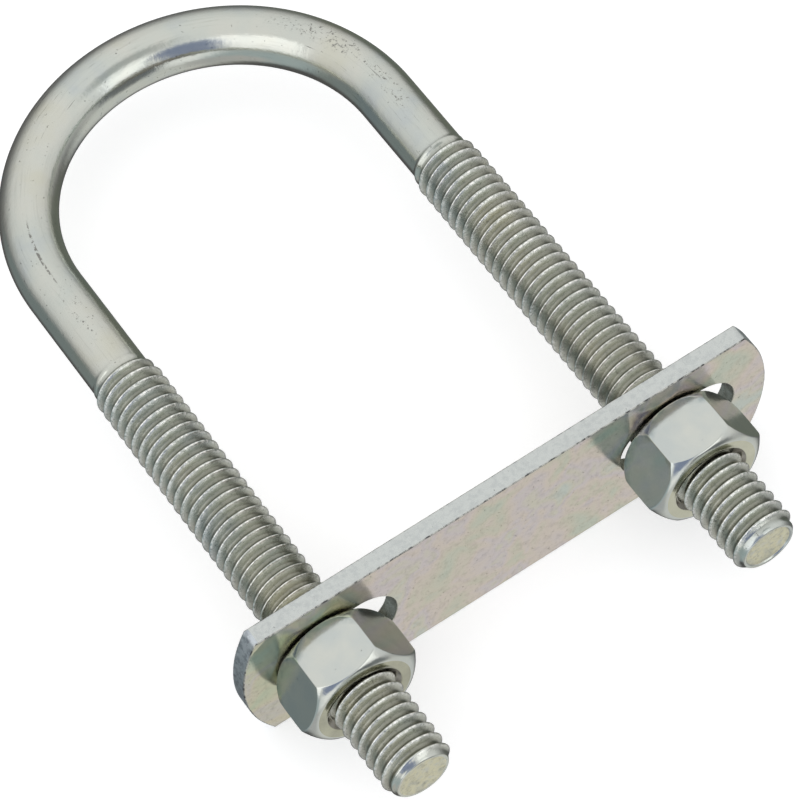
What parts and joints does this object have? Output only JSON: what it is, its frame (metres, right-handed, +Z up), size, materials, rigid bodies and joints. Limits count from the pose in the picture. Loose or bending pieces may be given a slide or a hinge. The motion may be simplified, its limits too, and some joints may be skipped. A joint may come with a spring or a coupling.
{
  "type": "u-bolt clamp",
  "caption": "U-bolt clamp: a threaded round-bar U, a flat strap plate with slotted holes, and hex nuts that draw the plate towards the bow to grip a pipe, rail or line.",
  "frame": {"origin": "on the strap plate's clamping face, midway between the two leg axes, with the nuts as shown", "axes": "+X from the left leg to the right leg, +Y from the plate towards the bow along the legs, +Z up, square to the plane of the U"},
  "size_m": [0.0652, 0.0966, 0.018],
  "materials": {
    "bolt_zinc": "bright zinc plating on cold-drawn steel bar",
    "plate_zinc": "zinc plating on sheared and punched strip steel, faintly iridescent",
    "nut_left_zinc": "bright zinc plating",
    "nut_right_zinc": "bright zinc plating"
  },
  "bodies": {
    "bolt": {"u_bolt": "bolt_zinc"},
    "plate": {"strap_plate": "plate_zinc"},
    "left_nut": {"nut_left": "nut_left_zinc"},
    "right_nut": {"nut_right": "nut_right_zinc"}
  },
  "joints": [
    {"name": "plate_travel", "type": "slide", "parent": "bolt", "child": "plate", "axis": [0, 1, 0], "range_m": [-0.00917, 0.0381]},
    {"name": "nut_left_turn", "type": "hinge", "parent": "plate", "child": "left_nut", "pos_m": [-0.02155, 0, 0], "axis": [0, 1, 0], "range_deg": [-2341, 9721]},
    {"name": "nut_right_turn", "type": "hinge", "parent": "plate", "child": "right_nut", "pos_m": [0.02155, 0, 0], "axis": [0, 1, 0], "range_deg": [-2341, 9721]}
  ],
  "couplings": [
    {"joint": "nut_left_turn", "follows": "plate_travel", "rad_per_m": 4452.7},
    {"joint": "nut_right_turn", "follows": "plate_travel", "rad_per_m": 4452.7}
  ]
}
